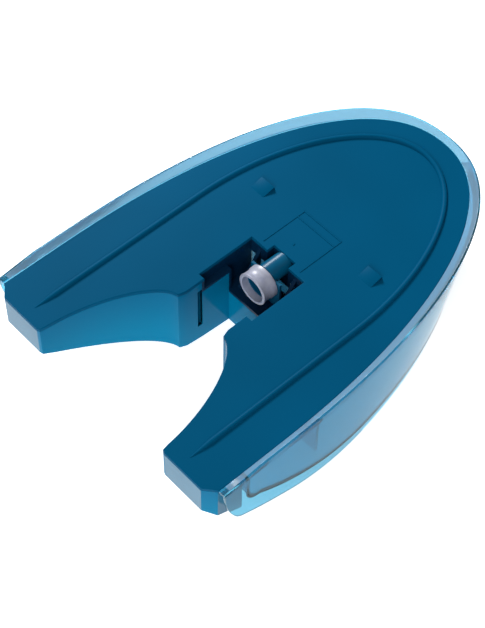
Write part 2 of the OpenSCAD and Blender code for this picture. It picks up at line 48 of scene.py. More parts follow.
# The tank's driving sizes in millimetres, the same as in its CAD source
tank = {
    "rearX": -142.5,         # leg ends
    "noseX": 142.5,
    "bodyX0": -90.5,         # the straight sides turn into the nose curve here
    "halfWidth": 100.4,
    "noseDraft": 12.0,
    "sideDraft": 0.3,
    "faceZ": 60.0,           # outer face of the base plate
    "lipHeight": 3.3,        # clear lip above the plate
    "lipRiseLength": 26.0,   # the lip reaches its height this far from the shell's ends
    "wall": 2.2,
    "plate": 2.5,
    "plateRound": 0.4,
    "plateInset": 5.3,
    "plateNoseInset": 4.1,
    "seatGap": 0.15,
    "ledgeZ": 56.5,          # underside of the plate's seat in the lip
    "edgeArc": 248.0,        # the walls' lower edge sweeps up on this radius
    "ceilingArc": 174.0,
    "arcX": -15.5,           # both arcs start here
    "ceilingZ": 7.2,
    "ceilingEndX": -119.5,
    "ceilingCorner": 9.0,
    "shellEndX": -136.5,
    "shellSideX": -98.5,     # last cross-section before the nose curve
    "shellEndLength": 30.0,
    "shellEndHeight": 45.0,
}
notch = {
    "width": 108.0,
    "length": 77.0,
    "y0": 20.0,
    "power": 1.67,
    "mouthY": 18.5,
    "cornerX": -60.5,
    "channelEndX": -26.0,
    "legCornerY": 87.0,
    "legChamfer": 6.0,
    "legSideY": 94.2,
    "legFlatY": 2.6,         # the leg front's flat face ends this far outside the notch
    "tipX": 0.8,             # the leg's inner corner is cut back by these two
    "tipY": 0.6,
    "wall": 2.2,
    "pocketX": -47.9,        # the wall steps down from here to the ledge, beside the outlet pocket
    "ledgeZ": 48.0,
    "floorZ": 29.0,
}
rimPower, footPower, platePower = 2.3, 2.05, 2.17      # superellipse powers: lip, foot of the wall, plate
bodyLength = tank["noseX"] - tank["bodyX0"]
flangeZ = tank["faceZ"] - tank["plate"]
lipZ = tank["faceZ"] + tank["lipHeight"]
mergeDistance = 0.004
sharpEdge = 32           # degrees over which an edge is drawn sharp
bevelEdge = 35           # degrees over which an edge is rounded
noseStops = 56           # cross-sections on each half of the nose
endStops = 12            # and along each rounded end of the shell


def linearColour(hexText):
    values = [int(hexText[i:i + 2], 16) / 255 for i in (1, 3, 5)]
    return tuple(v / 12.92 if v <= 0.04045 else ((v + 0.055) / 1.055) ** 2.4 for v in values) + (1.0,)


def addNode(tree, kind, settings=None, links=None, stops=()):
    # stops are a colour ramp's positions, each with its hex colour
    node = tree.nodes.new(kind)
    for name, value in (settings or {}).items():
        if name in node.inputs:
            node.inputs[name].default_value = value
        else:
            setattr(node, name, value)
    for name, source in (links or {}).items():
        tree.links.new(source, node.inputs[name])
    for index, (position, colour) in enumerate(stops):
        node.color_ramp.elements[index].position = position
        node.color_ramp.elements[index].color = linearColour(colour)
    return node


def newMaterial(name):
    material = bpy.data.materials.new(name)
    material.use_nodes = True
    tree = material.node_tree
    tree.nodes.clear()
    return material, tree, addNode(tree, "ShaderNodeTexCoord").outputs["Object"]


def patternScale(sizeMm):
    return 1 / (sizeMm * mm)


# Shapes are built in millimetres and scaled once, when a piece is finished
def markSharp(bm, sharpAngle):
    for face in bm.faces:
        face.smooth = True
    for edge in bm.edges:
        edge.smooth = len(edge.link_faces) == 2 and edge.calc_face_angle(0) < radians(sharpAngle)


def finishPiece(bm, name, material, rides="tank", replaced=(), sharpAngle=sharpEdge):
    bmesh.ops.remove_doubles(bm, verts=bm.verts, dist=mergeDistance)
    bmesh.ops.recalc_face_normals(bm, faces=bm.faces)
    markSharp(bm, sharpAngle)
    bmesh.ops.scale(bm, vec=(mm, mm, mm), verts=bm.verts)
    mesh = bpy.data.meshes.new(name)
    bm.to_mesh(mesh)
    bm.free()
    mesh.materials.append(material)
    piece = bpy.data.objects.new(name, mesh)
    bpy.context.collection.objects.link(piece)
    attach(piece, rides)
    if replaced:
        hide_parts(*replaced)
    return piece


def roundEdges(bm, offset, segments=2):
    edges = [e for e in bm.edges if len(e.link_faces) == 2 and e.calc_face_angle(0) > radians(bevelEdge)]
    bmesh.ops.bevel(bm, geom=edges, offset=offset, offset_type="OFFSET", segments=segments, profile=0.5,
                    affect="EDGES", material=-1, clamp_overlap=True)


def addBevel(piece, width):
    bevel = piece.modifiers.new("roundedEdges", "BEVEL")
    bevel.width = width * mm
    bevel.segments = 2
    bevel.limit_method = "ANGLE"
    bevel.angle_limit = radians(bevelEdge)
    bevel.use_clamp_overlap = True
    bevel.harden_normals = False


def addWeightedNormals(piece):
    weighted = piece.modifiers.new("flatFaces", "WEIGHTED_NORMAL")
    weighted.keep_sharp = True


def loft(sections):
    # joins closed sections of equal length and caps both ends
    columns = len(sections[0]) + 1
    bm = bmesh.new()
    bmesh.ops.create_grid(bm, x_segments=columns - 1, y_segments=len(sections) - 1, size=1)
    bm.verts.ensure_lookup_table()
    for row, section in enumerate(sections):
        for column in range(columns):
            bm.verts[row * columns + column].co = section[column % len(section)]
    bmesh.ops.remove_doubles(bm, verts=bm.verts, dist=mergeDistance)
    bmesh.ops.holes_fill(bm, edges=[e for e in bm.edges if e.is_boundary], sides=0)
    return bm


def boxShape(bm, low, high):
    made = bmesh.ops.create_cube(bm, size=1)["verts"]
    low, high = Vector(low), Vector(high)
    bmesh.ops.scale(bm, vec=high - low, verts=made)
    bmesh.ops.translate(bm, vec=(low + high) / 2, verts=made)
    return made


def cutBoxes(piece, boxes):
    bm = bmesh.new()
    for low, high in boxes:
        boxShape(bm, low, high)
    bmesh.ops.scale(bm, vec=(mm, mm, mm), verts=bm.verts)
    mesh = bpy.data.meshes.new("cutter")
    bm.to_mesh(mesh)
    bm.free()
    cutter = bpy.data.objects.new("cutter", mesh)
    bpy.context.collection.objects.link(cutter)
    boolean = piece.modifiers.new("cut", "BOOLEAN")
    boolean.object = cutter
    boolean.operation = "DIFFERENCE"
    boolean.solver = "EXACT"
    boolean.use_self = True
    evaluated = piece.evaluated_get(bpy.context.evaluated_depsgraph_get())
    cut = bpy.data.meshes.new_from_object(evaluated)
    piece.modifiers.clear()
    piece.data = cut
    bpy.data.objects.remove(cutter)
    bm = bmesh.new()
    bm.from_mesh(cut)
    markSharp(bm, sharpEdge)
    bm.to_mesh(cut)
    bm.free()


def refinedCopy(nodeName, name, material, rides="tank", bevel=0.2):
    # a CAD node's own shape with its facets merged and its edges rounded
    bm = bmesh.new()
    bm.from_mesh(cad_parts[nodeName].data)
    bmesh.ops.scale(bm, vec=(1 / mm, 1 / mm, 1 / mm), verts=bm.verts)
    bmesh.ops.remove_doubles(bm, verts=bm.verts, dist=mergeDistance)
    bmesh.ops.dissolve_limit(bm, angle_limit=radians(0.5), verts=bm.verts, edges=bm.edges)
    piece = finishPiece(bm, name, material, rides, (nodeName,))
    if bevel:
        addBevel(piece, bevel)
        addWeightedNormals(piece)
    return piece


def tubeAlong(points, radii, name, material, sides, replaced=()):
    curve = bpy.data.curves.new(name, "CURVE")
    curve.dimensions = "3D"
    curve.bevel_depth = mm
    curve.bevel_resolution = max(1, (sides - 4) // 2)
    curve.use_fill_caps = True
    spline = curve.splines.new("POLY")
    spline.points.add(len(points) - 1)
    for spot, point, radius in zip(spline.points, points, radii):
        spot.co = (point[0] * mm, point[1] * mm, point[2] * mm, 1)
        spot.radius = radius
    holder = bpy.data.objects.new(name, curve)
    bpy.context.collection.objects.link(holder)
    evaluated = holder.evaluated_get(bpy.context.evaluated_depsgraph_get())
    bm = bmesh.new()
    bm.from_mesh(bpy.data.meshes.new_from_object(evaluated))
    bpy.data.objects.remove(holder)
    bmesh.ops.scale(bm, vec=(1 / mm, 1 / mm, 1 / mm), verts=bm.verts)
    return finishPiece(bm, name, material, "tank", replaced, 60)


def nosePoint(length, width, power, side, turn):
    return (tank["bodyX0"] + length * max(0, cos(turn)) ** (2 / power),
            side * width * sin(turn) ** (2 / power))


def stopsAlongWall():
    # one stop per cross-section: side, angle round the nose or None, and x on the straight sides
    straight = [tank["shellEndX"] + tank["shellEndLength"] * (1 - cos(pi / 2 * (k + 0.3) / (endStops + 0.3)))
                for k in range(endStops + 1)] + [tank["shellSideX"]]
    right = [(-1, None, x) for x in straight]
    right += [(-1, pi / 2 * (1 - k / noseStops), 0) for k in range(noseStops)]
    left = [(1, turn, x) for side, turn, x in reversed(right)]
    return right + [(1, 0.0, 0)] + left


def wallPoint(stop, inset, z):
    # the outer wall leans from its foot to its rim
    side, turn, x = stop
    share = z / lipZ
    rimWidth = tank["halfWidth"] - inset
    if turn is None:
        return Vector((x, side * (rimWidth + tank["sideDraft"] * (1 - share)), z))
    rim = nosePoint(bodyLength - inset, rimWidth, rimPower, side, turn)
    footLength, footWidth = bodyLength - tank["noseDraft"] - inset, rimWidth + tank["sideDraft"]
    foot = nosePoint(footLength, footWidth, footPower, side, turn)
    return Vector((foot[0] + (rim[0] - foot[0]) * share, foot[1] + (rim[1] - foot[1]) * share, z))


def seatPoint(stop, z, grow=0.0):
    # the edge of the base plate and of its seat in the lip
    side, turn, x = stop
    width = tank["halfWidth"] - tank["plateInset"] + grow
    if turn is None:
        return Vector((x, side * width, z))
    x, y = nosePoint(bodyLength - tank["plateNoseInset"] + grow, width, platePower, side, turn)
    return Vector((x, y, z))


def rise(radius, x):
    # height of an arc that sweeps up towards the legs
    return radius - sqrt(radius ** 2 - (tank["arcX"] - x) ** 2) if x < tank["arcX"] else 0.0


def shellEdgeZ(x):
    turnX = tank["shellEndX"] + tank["shellEndLength"]
    if x >= turnX:
        return rise(tank["edgeArc"], x)
    back = min(1.0, (turnX - x) / tank["shellEndLength"])
    return max(rise(tank["edgeArc"], x), tank["faceZ"] - tank["shellEndHeight"] * sqrt(1 - back ** 2))


def lipTopZ(x):
    return tank["faceZ"] + tank["lipHeight"] * min(1.0, (x - tank["shellEndX"]) / tank["lipRiseLength"])


baseLook = {"colour": "#005075", "shade": "#004A6C", "roughness": 0.42, "cloudMm": 111.0, "grainMm": 0.35,
            "bumpMm": 0.015}
ridgeShape = {"startX": -134.0, "turnX": -5.5, "y": 68.7, "length": 128.0, "radius": 1.9, "taper": 14.0,
              "tip": 0.15, "bedded": 0.1}
rampShape = {"x": 22.5, "length": 10.3, "y": 46.7, "width": 11.4, "height": 2.4, "toe": 0.02,
             "lean": 0.8, "bedded": 0.3, "round": 0.3}
outlineShape = {"x0": -0.5, "x1": 34.0, "innerX": 28.0, "halfWidth": 16.0, "line": 0.9, "height": 0.35,
                "bedded": 0.2, "round": 0.15}
arrowShape = {"x": 11.2, "y": 1.7, "base": 1.4, "tip": 1.1, "depth": 0.5}
pocketShape = {"x0": -45.9, "x1": -3.5, "y": 23.0, "tubeX": 2.3, "tubeY": 9.2}


def mouldedBluePlate():
    # SAN from a spark-eroded tool: a deep blue, almost opaque tint under a soft, even sheen
    look = baseLook
    material, tree, place = newMaterial("blueTintedSanSparkErodedMould")
    cloud = addNode(tree, "ShaderNodeTexNoise", {"Scale": patternScale(look["cloudMm"]), "Detail": 2.0},
                    {"Vector": place})
    tint = addNode(tree, "ShaderNodeValToRGB", links={"Fac": cloud.outputs[0]},
                   stops=((0.3, look["shade"]), (0.7, look["colour"])))
    grain = addNode(tree, "ShaderNodeTexNoise", {"Scale": patternScale(look["grainMm"]), "Detail": 1.0},
                    {"Vector": place})
    bump = addNode(tree, "ShaderNodeBump", {"Strength": 0.35, "Distance": look["bumpMm"] * mm},
                   {"Height": grain.outputs[0]})
    body = addNode(tree, "ShaderNodeBsdfPrincipled",
                   {"Roughness": look["roughness"], "IOR": 1.57, "Specular IOR Level": 0.01},
                   {"Base Color": tint.outputs[0], "Normal": bump.outputs[0]})
    addNode(tree, "ShaderNodeOutputMaterial", links={"Surface": body.outputs[0]})
    return material


def notchPoint(grow, angle):
    return (tank["rearX"] + (notch["length"] + grow) * max(0, cos(angle)) ** (2 / notch["power"]),
            notch["y0"] + (notch["width"] / 2 - notch["y0"] + grow) * sin(angle) ** (2 / notch["power"]))


def halfPlateOutline():
    pocket, legX, notchY = pocketShape, tank["rearX"], notch["width"] / 2
    seat = [seatPoint(stop, 0) for stop in stopsAlongWall() if stop[0] > 0]
    points = [(p.x, p.y) for p in seat]
    points += [(legX + notch["legChamfer"], notch["legSideY"]), (legX, notch["legCornerY"]),
               (legX, notchY + notch["legFlatY"]), (legX + notch["tipX"], notchY + notch["tipY"])]
    points += [notchPoint(0, radians(angle)) for angle in range(84, -1, -4)]
    points += [(notch["cornerX"], notch["mouthY"]), (pocket["x0"], notch["mouthY"])]
    points += [(pocket["x0"], pocket["y"]), (pocket["x1"], pocket["y"])]
    points += [(pocket["x1"], pocket["tubeY"]), (pocket["tubeX"], pocket["tubeY"])]
    return points


def basePlate(material):
    half = halfPlateOutline()
    outline = half + [(x, -y) for x, y in reversed(half) if y > 0.01]
    bm = bmesh.new()
    corners = [bm.verts.new((x, y, flangeZ)) for x, y in outline]
    face = bm.faces.new(corners)
    raised = bmesh.ops.extrude_face_region(bm, geom=[face])["geom"]
    bmesh.ops.translate(bm, vec=(0, 0, tank["plate"]),
                        verts=[v for v in raised if isinstance(v, bmesh.types.BMVert)])
    bmesh.ops.recalc_face_normals(bm, faces=bm.faces)
    rimEdges = [e for e in bm.edges if all(abs(v.co.z - tank["faceZ"]) < 0.01 for v in e.verts)]
    bmesh.ops.bevel(bm, geom=rimEdges, offset=tank["plateRound"], offset_type="OFFSET", segments=2, profile=0.5,
                    affect="EDGES", material=-1, clamp_overlap=True)
    piece = finishPiece(bm, "basePlate", material, "tank", ("base_plate",), 50)
    addWeightedNormals(piece)


def guideRidge(material):
    # one bead along both legs and round the nose, thinning out at the legs' ends
    r = ridgeShape
    straight = [r["startX"] + (r["turnX"] - r["startX"]) * k / 24 for k in range(24)]
    path = [(x, -r["y"]) for x in straight]
    path += [(r["turnX"] + r["length"] * sin(pi * k / 72), -r["y"] * cos(pi * k / 72)) for k in range(73)]
    path += [(x, r["y"]) for x in reversed(straight)]
    grown = [min(1.0, r["tip"] + (1 - r["tip"]) * (x - r["startX"]) / r["taper"]) for x, y in path]
    radii = [r["radius"] * share for share in grown]
    points = [(x, y, tank["faceZ"] - r["bedded"]) for x, y in path]
    tubeAlong(points, radii, "guideRidge", material, 20)


def snapRamps(material):
    # two wedges that rise towards the nose, with a steep end that leans back
    r = rampShape
    bm = bmesh.new()
    for side in (-1, 1):
        made = boxShape(bm, (r["x"], side * r["y"] - r["width"] / 2, tank["faceZ"] - r["bedded"]),
                        (r["x"] + r["length"], side * r["y"] + r["width"] / 2, tank["faceZ"] + r["height"]))
        for vert in made:
            if vert.co.z > tank["faceZ"]:
                steep = vert.co.x > r["x"] + r["length"] / 2
                vert.co.z = tank["faceZ"] + (r["height"] if steep else r["toe"])
                vert.co.x -= r["lean"] if steep else 0
    roundEdges(bm, r["round"])
    finishPiece(bm, "snapRamps", material)


def mouldedOutline(material):
    # a low rectangle and a small arrow, raised on the plate
    o = outlineShape
    low, high, half = tank["faceZ"] - o["bedded"], tank["faceZ"] + o["height"], o["line"] / 2
    bm = bmesh.new()
    for y in (-o["halfWidth"], o["halfWidth"]):
        boxShape(bm, (o["x0"], y - half, low), (o["x1"] + half, y + half, high))
    for x in (o["innerX"], o["x1"]):
        boxShape(bm, (x - half, -o["halfWidth"], low), (x + half, o["halfWidth"], high))
    a = arrowShape
    arrow = bmesh.ops.create_cone(bm, cap_ends=True, segments=3, radius1=a["base"], radius2=a["tip"],
                                  depth=a["depth"])["verts"]
    bmesh.ops.translate(bm, vec=(a["x"], a["y"], tank["faceZ"] + 0.1), verts=arrow)
    roundEdges(bm, o["round"], 1)
    finishPiece(bm, "mouldedOutline", material)


# the notch wall's teal is painted lighter low down and deeper high up: painted glow
notchLookPaintedGlow = {"colour": "#00799F", "deep": "#00668D", "paintedGlowLowZ": 4.0, "paintedGlowHighZ": 58.0, "roughness": 0.16,
             "rippleMm": 22.0}
# the leg fronts: the teal wall's plastic painted paler and greyer, painted light through the empty chamber
# behind
legLookPaintedPale = {"low": "#2B6582", "high": "#3B728E", "roughness": 0.15, "cloudMm": 33.0}


def tealWallPaintedGlow():
    # SAN in a thinner wall from a polished tool: glossy teal, painted lighter low down as painted glow, where
    # light glows through
    look = notchLookPaintedGlow
    material, tree, place = newMaterial("tealTintedSanPaintedGlowLowDown")
    height = addNode(tree, "ShaderNodeSeparateXYZ", links={"Vector": place})
    share = addNode(tree, "ShaderNodeMapRange",
                    {"From Min": look["paintedGlowLowZ"] * mm, "From Max": look["paintedGlowHighZ"] * mm},
                    {"Value": height.outputs["Z"]})
    # painted glow: the ramp runs from the lighter teal low down to the deeper teal high up
    tint = addNode(tree, "ShaderNodeValToRGB", links={"Fac": share.outputs[0]},
                   stops=((0.3, look["colour"]), (0.95, look["deep"])))
    ripple = addNode(tree, "ShaderNodeTexNoise", {"Scale": patternScale(look["rippleMm"]), "Detail": 1.0},
                     {"Vector": place})
    bump = addNode(tree, "ShaderNodeBump", {"Strength": 0.12, "Distance": 0.1 * mm},
                   {"Height": ripple.outputs[0]})
    body = addNode(tree, "ShaderNodeBsdfPrincipled",
                   {"Roughness": look["roughness"], "IOR": 1.57, "Specular IOR Level": 0.02,
                    "Transmission Weight": 0.03},
                   {"Base Color": tint.outputs[0], "Normal": bump.outputs[0]})
    addNode(tree, "ShaderNodeOutputMaterial", links={"Surface": body.outputs[0]})
    return material


def legFrontPaintedPale():
    # the same wall on the leg ends, with an empty chamber behind it: glossy, painted paler and greyer for the
    # light through that chamber
    look = legLookPaintedPale
    material, tree, place = newMaterial("tealSanLegFrontPaintedPale")
    cloud = addNode(tree, "ShaderNodeTexNoise", {"Scale": patternScale(look["cloudMm"]), "Detail": 1.0},
                    {"Vector": place})
    tint = addNode(tree, "ShaderNodeValToRGB", links={"Fac": cloud.outputs[0]},
                   stops=((0.3, look["low"]), (0.7, look["high"])))
    body = addNode(tree, "ShaderNodeBsdfPrincipled",
                   {"Roughness": look["roughness"], "IOR": 1.57, "Specular IOR Level": 0.1,
                    "Transmission Weight": 0.05}, {"Base Color": tint.outputs[0]})
    addNode(tree, "ShaderNodeOutputMaterial", links={"Surface": body.outputs[0]})
    return material


keyHousing = {"x": -49.5, "width": 4.0, "depth": 4.5, "low": 15.5, "high": 51.0, "wall": 1.4, "gap": 0.3,
              "cut": 2.5}


def notchPath(grow):
    legX, notchY = tank["rearX"], notch["width"] / 2
    points = [(tank["ceilingEndX"], notch["legSideY"] - grow),
              (legX + notch["legChamfer"] + grow / 2, notch["legSideY"] - grow),
              (legX + grow, notch["legCornerY"] - grow / 2),
              (legX + grow, notchY + notch["legFlatY"]),
              (legX + notch["tipX"] + grow, notchY + notch["tipY"] + grow * 0.6)]
    points += [notchPoint(grow, radians(angle)) for angle in range(80, -1, -4)]
    return points


def notchWall(material, paintedPaleLegMaterial):
    # one wall round both leg ends, the notch and the mouth, with an upright slot on each side of the mouth
    ledge, pocketX = notch["ledgeZ"], notch["pocketX"]
    endX, mouthY, wall = notch["channelEndX"], notch["mouthY"], notch["wall"]
    stops = [(o, i, flangeZ) for o, i in zip(notchPath(0), notchPath(wall))]
    stops += [((notch["cornerX"], mouthY), (notch["cornerX"], mouthY + wall), flangeZ)]
    stops += [((x, mouthY), (x, mouthY + wall), top) for x, top in
              ((pocketX, flangeZ), (pocketX + 0.02, ledge), (endX, ledge))]
    stops += [((endX + 0.01, mouthY), (endX + wall, mouthY + wall), notch["floorZ"])]
    stops += [((x, -y), (u, -v), top) for (x, y), (u, v), top in reversed(stops)]
    sections = []
    for (x, y), (u, v), top in stops:
        low, r = rise(tank["edgeArc"], x), 0.4
        inward = Vector((u - x, v - y)) / hypot(u - x, v - y) * r
        sections.append([(x + inward.x, y + inward.y, top), (x, y, top - r), (x, y, low + r),
                         (x + inward.x, y + inward.y, low), (u - inward.x, v - inward.y, low),
                         (u, v, low + r), (u, v, top)])
    bm = loft(sections)
    piece = finishPiece(bm, "notchWall", material, "tank", ("notch_wall",), 28)
    h = keyHousing
    cutBoxes(piece, [((h["x"] - h["width"] / 2, side * (mouthY + 1) - h["cut"], h["low"]),
                      (h["x"] + h["width"] / 2, side * (mouthY + 1) + h["cut"], h["high"]))
                     for side in (-1, 1)])
    # the leg ends' front and side faces take the same plastic painted paler and greyer: painted light through
    # the empty chamber behind
    piece.data.materials.append(paintedPaleLegMaterial)
    for face in piece.data.polygons:
        front = face.center.x < (tank["rearX"] + 0.3) * mm and abs(face.normal.x) > 0.9
        side = abs(face.center.y) > (notch["legSideY"] - 0.1) * mm and abs(face.normal.y) > 0.95
        if front or side:
            face.material_index = 1
    addWeightedNormals(piece)


def keyHousings(material):
    # closed boxes behind the two upright key slots in the mouth's walls
    h, reach = keyHousing, notch["mouthY"]
    bm = bmesh.new()
    for side in (-1, 1):
        ends = sorted((side * (reach + h["gap"]), side * (reach + h["depth"])))
        made = boxShape(bm, (h["x"] - h["width"] / 2, ends[0], h["low"]),
                        (h["x"] + h["width"] / 2, ends[1], h["high"]))
        mouthVerts = [v for v in made if abs(abs(v.co.y) - reach - h["gap"]) < 0.01]
        mouthFaces = [f for f in bm.faces if all(v in mouthVerts for v in f.verts)]
        bmesh.ops.delete(bm, geom=mouthFaces, context="FACES")
    bmesh.ops.recalc_face_normals(bm, faces=bm.faces)
    bmesh.ops.solidify(bm, geom=bm.faces, thickness=-h["wall"])
    piece = finishPiece(bm, "keyHousings", material)
    addBevel(piece, 0.2)
    addWeightedNormals(piece)


# the lip colour is the shell plastic painted paler and greyer, painted light for how light falls on the lip's
# upward faces
shellLook = {"colour": "#68BEDA", "lip": "#8FB3CE", "panel": "#6CC6E2", "inner": "#92C9DE", "roughness": 0.06,
             "ior": 1.2, "flowMm": 45.0}
lipShape = {"round": 0.7, "flareIn": 1.3, "flareOut": 1.6}
windowShape = {"gap": 0.5, "flapTop": 43.0, "hingeHalfWidth": 18.8}


def clearMoulding(name, colour, roughness, transmission, specular):
    # SAN or polycarbonate from a polished tool: clear, glossy, faintly blue-grey, with slow flow waves.
    # The index is kept low, so that a thin wall doesn't mirror the pale room as a grey haze.
    material, tree, place = newMaterial(name)
    flow = addNode(tree, "ShaderNodeTexNoise", {"Scale": patternScale(shellLook["flowMm"]), "Detail": 1.0},
                   {"Vector": place})
    bump = addNode(tree, "ShaderNodeBump", {"Strength": 0.08, "Distance": 0.15 * mm},
                   {"Height": flow.outputs[0]})
    body = addNode(tree, "ShaderNodeBsdfPrincipled",
                   {"Base Color": linearColour(colour), "Roughness": roughness, "IOR": shellLook["ior"],
                    "Transmission Weight": transmission, "Specular IOR Level": specular},
                   {"Normal": bump.outputs[0]})
    addNode(tree, "ShaderNodeOutputMaterial", links={"Surface": body.outputs[0]})
    return material


def shellSection(stop):
    x = wallPoint(stop, 0, 30).x
    low, high = shellEdgeZ(x), lipTopZ(x)
    r = min(lipShape["round"], (high - low) * 0.2)
    seatTop, seatLow = max(low, min(tank["faceZ"], high)), max(low, tank["ledgeZ"])
    wall = tank["wall"]
    outer = [low + r + (high - low - 2 * r) * k / 6 for k in range(7)]
    section = [wallPoint(stop, 0, z) for z in outer]
    section += [wallPoint(stop, 0.3 * r, high - 0.3 * r), wallPoint(stop, r, high),
                wallPoint(stop, lipShape["flareIn"], high),
                wallPoint(stop, lipShape["flareOut"], high - 0.25 * r)]
    section += [seatPoint(stop, seatTop, tank["seatGap"]), seatPoint(stop, seatLow, tank["seatGap"])]
    section += [wallPoint(stop, wall + 0.3, seatLow),
                wallPoint(stop, wall, max(low + 0.5 * r, seatLow - 0.5)),
                wallPoint(stop, wall, low + 0.5 * r), wallPoint(stop, wall - 0.5 * r, low),
                wallPoint(stop, r, low), wallPoint(stop, 0.3 * r, low + 0.3 * r)]
    return section


def outerShell(material, paintedLightLipMaterial):
    bm = loft([shellSection(stop) for stop in stopsAlongWall()])
    piece = finishPiece(bm, "outerShell", material, "tank", ("outer_shell",), 30)
    low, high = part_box("fill_flap")
    gap, flapTop = windowShape["gap"], windowShape["flapTop"]
    hingeY, hingeZ = windowShape["hingeHalfWidth"], high.z / mm + windowShape["gap"]
    inX, outX = tank["noseX"] - 30, tank["noseX"] + 5       # right through the nose wall and no further
    cutBoxes(piece, [((inX, low.y / mm - gap, low.z / mm - gap), (outX, high.y / mm + gap, flapTop + gap)),
                     ((inX, -hingeY, flapTop - 1), (outX, hingeY, hingeZ))])
    # the lip's upward inner faces take a paler, greyer, less clear copy of the shell plastic: painted light for
    # how light falls on them
    piece.data.materials.append(paintedLightLipMaterial)
    for face in piece.data.polygons:
        inward = face.normal.x * (face.center.x - tank["bodyX0"] * mm) + face.normal.y * face.center.y
        if face.center.z > (tank["faceZ"] + 0.2) * mm and face.normal.z > 0.2 and inward < 0:
            face.material_index = 1
    addWeightedNormals(piece)


# a dark bead inside the clear wall: painted shade along the ceiling panel's edge
shadeLineLook = {"colour": "#010F1C", "radius": 1.1, "inset": 1.05, "endLength": 6, "speckMm": 1.1}


def ceilingShadeLine():
    # a dull, slightly lumpy, dark blue bead inside the clear wall, along the ceiling panel's welded edge:
    # painted shade, the dark line where the panel meets the wall
    material, tree, place = newMaterial("darkBlueBeadPaintedShadeLine")
    speck = addNode(tree, "ShaderNodeTexNoise", {"Scale": patternScale(shadeLineLook["speckMm"])},
                    {"Vector": place})
    bump = addNode(tree, "ShaderNodeBump", {"Strength": 0.2, "Distance": 0.05 * mm},
                   {"Height": speck.outputs[0]})
    body = addNode(tree, "ShaderNodeBsdfPrincipled",
                   {"Base Color": linearColour(shadeLineLook["colour"]), "Roughness": 0.4,
                    "Specular IOR Level": 0.05},
                   {"Normal": bump.outputs[0]})
    addNode(tree, "ShaderNodeOutputMaterial", links={"Surface": body.outputs[0]})
    inset, radius = shadeLineLook["inset"], tank["ceilingCorner"]
    cornerX = tank["ceilingEndX"] + radius
    cornerZ = tank["ceilingZ"] + rise(tank["ceilingArc"], cornerX) + radius
    side = [(cornerX - radius, cornerZ + shadeLineLook["endLength"] * (1 - k / 3)) for k in range(3)]
    side += [(cornerX - radius * cos(pi / 16 * k), cornerZ - radius * sin(pi / 16 * k)) for k in range(9)]
    side += [(cornerX + (tank["bodyX0"] - cornerX) * k / 4, None) for k in range(1, 4)]
    points = []
    for x, z in side:
        z = tank["ceilingZ"] + rise(tank["ceilingArc"], x) if z is None else z
        points.append(wallPoint((-1, None, x), inset, z))
    turns = 72
    for k in range(turns + 1):
        stop = (-1, pi / 2 * (1 - k / turns), 0)
        x = wallPoint(stop, inset, tank["ceilingZ"]).x
        points.append(wallPoint(stop, inset, tank["ceilingZ"] + rise(tank["ceilingArc"], x)))
    points += [Vector((p.x, -p.y, p.z)) for p in reversed(points[:-1])]
    last = len(points) - 1
    radii = [shadeLineLook["radius"] * min(1.0, 0.3 + k / 4, 0.3 + (last - k) / 4) for k in range(last + 1)]
    tubeAlong(points, radii, "ceilingShadeLine", material, 12)


sealLook = {"light": "#C9CCDC", "deep": "#ADB1C8", "roughness": 0.33, "mistMm": 6.2}
sealShape = {"x0": -24.5, "length": 11.0, "radius": 11.25, "bore": 9.0, "rearBore": 9.4, "z": 48.0}


def milkySilicone():
    # compression-moulded silicone: milky and faintly violet, light spreads in it, with a soft sheen
    look = sealLook
    material, tree, place = newMaterial("translucentSiliconeMoulded")
    mist = addNode(tree, "ShaderNodeTexNoise", {"Scale": patternScale(look["mistMm"]), "Detail": 3.0},
                   {"Vector": place})
    tint = addNode(tree, "ShaderNodeValToRGB", links={"Fac": mist.outputs[0]},
                   stops=((0.3, look["deep"]), (0.7, look["light"])))
    bump = addNode(tree, "ShaderNodeBump", {"Strength": 0.15, "Distance": 0.1 * mm},
                   {"Height": mist.outputs[0]})
    body = addNode(tree, "ShaderNodeBsdfPrincipled",
                   {"Roughness": look["roughness"], "IOR": 1.41, "Transmission Weight": 0.35,
                    "Specular IOR Level": 0.45}, {"Base Color": tint.outputs[0], "Normal": bump.outputs[0]})
    addNode(tree, "ShaderNodeOutputMaterial", links={"Surface": body.outputs[0]})
    return material


def outletSeal(material):
    s = sealShape
    x0, x1, r = s["x0"], s["x0"] + s["length"], s["radius"]
    # along the seal and out from its axis: a rounded front lip, a waist, a rear band and the stepped bore
    profile = [(x0 + 0.25, s["bore"]), (x0, s["bore"] + 0.3), (x0, r - 0.6), (x0 + 0.35, r - 0.15)]
    profile += [(x0 + 1.0, r - 0.12), (x0 + 1.5, r - 0.5), (x1 - 4.0, r - 0.5), (x1 - 3.4, r - 0.05)]
    profile += [(x1 - 0.4, r), (x1, r - 0.4), (x1, s["rearBore"]), (x0 + 6.0, s["rearBore"])]
    profile += [(x0 + 6.0, s["bore"])]
    bm = bmesh.new()
    ring = [bm.verts.new((x, 0, s["z"] + radius)) for x, radius in profile]
    edges = [bm.edges.new((a, b)) for a, b in zip(ring, ring[1:] + ring[:1])]
    bmesh.ops.spin(bm, geom=ring + edges, cent=(0, 0, s["z"]), axis=(1, 0, 0), angle=2 * pi, steps=96,
                   use_merge=True)
    finishPiece(bm, "outletSeal", material, "tank", ("outlet_seal",), 40)


